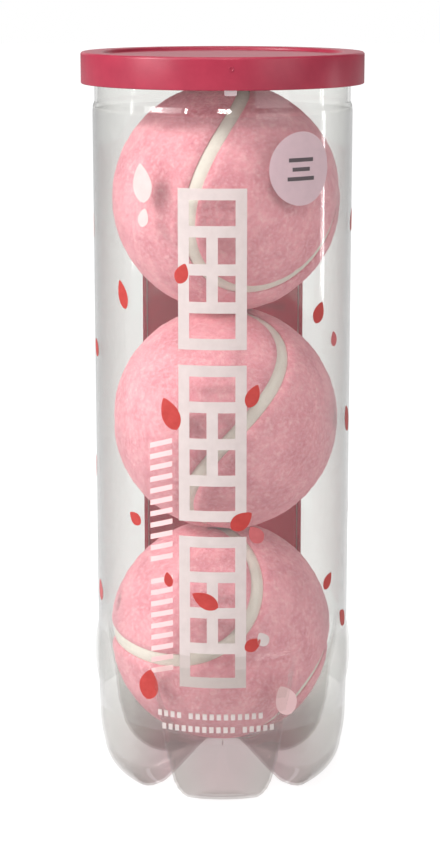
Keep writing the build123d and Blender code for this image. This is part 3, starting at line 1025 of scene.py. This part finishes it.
def add_floor():
    material, tree = new_material("pale_floor")
    colour = ramp(tree, texture(tree, 3), 0.22, 0.25)
    away = add_node(tree, "ShaderNodeVectorMath", {0: place_of(tree)}, operation="LENGTH")
    span = {"Value": away.outputs["Value"], "From Min": 0.5, "From Max": 1.5}
    span |= {"To Min": 0.86, "To Max": 1.0}
    bright = add_node(tree, "ShaderNodeMapRange", span).outputs["Result"]
    seen = add_node(tree, "ShaderNodeLightPath").outputs["Is Camera Ray"]
    span = {"Value": seen, "To Min": 0.62, "To Max": bright}
    glow = add_node(tree, "ShaderNodeMapRange", span).outputs["Result"]
    shader = principled(tree, Base_Color=colour, Roughness=0.9, Emission_Color=(1, 1, 1, 1))
    tree.links.new(glow, shader.inputs["Emission Strength"])
    end_with(tree, shader)
    half = 6.0
    mesh = bpy.data.meshes.new("floor")
    corners = [(-half, -half, 0), (half, -half, 0), (half, half, 0), (-half, half, 0)]
    mesh.from_pydata(corners, [], [(0, 1, 2, 3)])
    mesh.materials.append(material)
    floor = bpy.data.objects.new("floor", mesh)
    bpy.context.scene.collection.objects.link(floor)


def add_world():
    world = bpy.data.worlds.new("studio")
    world.use_nodes = True
    tree = world.node_tree
    tree.nodes.clear()
    seen = add_node(tree, "ShaderNodeLightPath").outputs["Is Camera Ray"]
    strength = {0: seen, 1: 0.72, 2: 0.28}
    power = add_node(tree, "ShaderNodeMath", strength, operation="MULTIPLY_ADD")
    inputs = {"Color": (1, 1, 1, 1), "Strength": power.outputs[0]}
    back = add_node(tree, "ShaderNodeBackground", inputs)
    add_node(tree, "ShaderNodeOutputWorld", {"Surface": back.outputs[0]})
    bpy.context.scene.world = world


def add_camera():
    data = bpy.data.cameras.new("camera")
    data.sensor_fit = "VERTICAL"
    data.sensor_height = 36
    data.lens = 92.83
    data.shift_x = -0.003
    data.clip_start = 0.01
    camera = bpy.data.objects.new("camera", data)
    camera.location = (0, -0.6355, 0.2432)
    camera.rotation_euler = (math.radians(78.05), 0, 0)
    bpy.context.scene.collection.objects.link(camera)
    bpy.context.scene.camera = camera


scene = bpy.context.scene
scene.view_settings.view_transform = "Standard"
scene.cycles.transparent_max_bounces = 48
scene.cycles.max_bounces = 12
add_camera()
add_world()
add_floor()
add_light("key", (-0.95, -0.6, 0.62), (0, 0, 0.12), 0.7, 0.9, 13.5)
add_light("overhead", (-0.1, -0.1, 1.1), (0, 0, 0.2), 0.9, 0.9, 5.5)
add_light("back_card", (0, 1.5, 0.55), (0, 0, 0.15), 2.0, 0.5, 2.7)
add_light("fill", (0.9, -0.9, 0.5), (0, 0, 0.1), 0.8, 0.8, 4.6)
add_light("left_card", (-0.42, -0.06, 0.10), (0, 0, 0.12), 0.16, 0.5, 0.08)
add_light("strip", (0.349, 0.036, 0.155), (0, 0, 0.155), 0.005, 0.11, 0.06)
add_light("spark_left", (-0.55, -0.25, 0.60), (0, 0, 0.2), 0.17, 0.12, 3.0)
add_light("spark_small", (-0.335, -0.50, 0.58), (0, 0, 0.2), 0.03, 0.06, 0.35)
add_light("spark_front", (0.02, -0.50, 0.53), (0, 0, 0.2), 0.10, 0.05, 0.9)
add_light("spark_right", (0.55, -0.25, 0.45), (0, 0, 0.05), 0.05, 0.04, 0.25)

metal = plain_material("lacquered_aluminium", 0.74, 0.82, 150, 0.30, 0.00001, 1.0)
# See-through tint, and the darker tint at grazing that paints the shade of the wall's edges.
tint_and_painted_shade = ((0.944, 0.944, 0.936), (0.885, 0.885, 0.875))
pet = clear_plastic("clear_pet", *tint_and_painted_shade, 0.05, 0.006, 0.0003, 0.035)
lug = clear_plastic("pale_lug", (0.86, 0.74, 0.75), (0.7, 0.5, 0.52), 0.2, 0.35, 0.0001)
film = clear_plastic("clear_film", 0.98, 0.93, 0.06, 0.002, 0.0001)
inks = {
    "white": print_material("white_ink", (0.66, 0.59, 0.575), (0.72, 0.65, 0.635)),
    "red": print_material("red_ink", (0.50, 0.046, 0.04), (0.60, 0.07, 0.06)),
    "rose": print_material("rose_ink", (0.56, 0.13, 0.14), (0.64, 0.17, 0.18)),
    "pale": print_material("pale_ink", (0.84, 0.62, 0.63), (0.88, 0.67, 0.67)),
}
dark = plain_material("dark_ink", (0.05, 0.035, 0.04), (0.07, 0.05, 0.055), 300, 0.45, 0.00002)
sticker = print_material("sticker_paper", (0.63, 0.475, 0.51), (0.68, 0.515, 0.55), 0.5, 0.35)
label = print_material("magenta_label", (0.72, 0.05, 0.145), (0.80, 0.07, 0.175), 0.44, 0.6)
rubber = plain_material("seam_rubber", (0.70, 0.66, 0.58), (0.78, 0.74, 0.66), 500, 0.7, 0.0001)
core = plain_material("core_rubber", (0.30, 0.20, 0.17), (0.36, 0.25, 0.21), 200, 0.8, 0.0002)
compound = plain_material("compound", (0.60, 0.58, 0.52), (0.66, 0.64, 0.58), 300, 0.7, 0.0001)

make_container(pet)
make_sleeve(film)
make_prints(inks)
make_sticker(sticker, dark)
make_back_label(label, inks["pale"])
make_end(metal, compound)
make_panel(metal)
for node_name in ("tab_rivet", "tab_tongue", "pull_tab"):
    finish_node(node_name, metal)
make_overcap(cap_material(), lug)
make_balls(felt_material(), rubber, core)
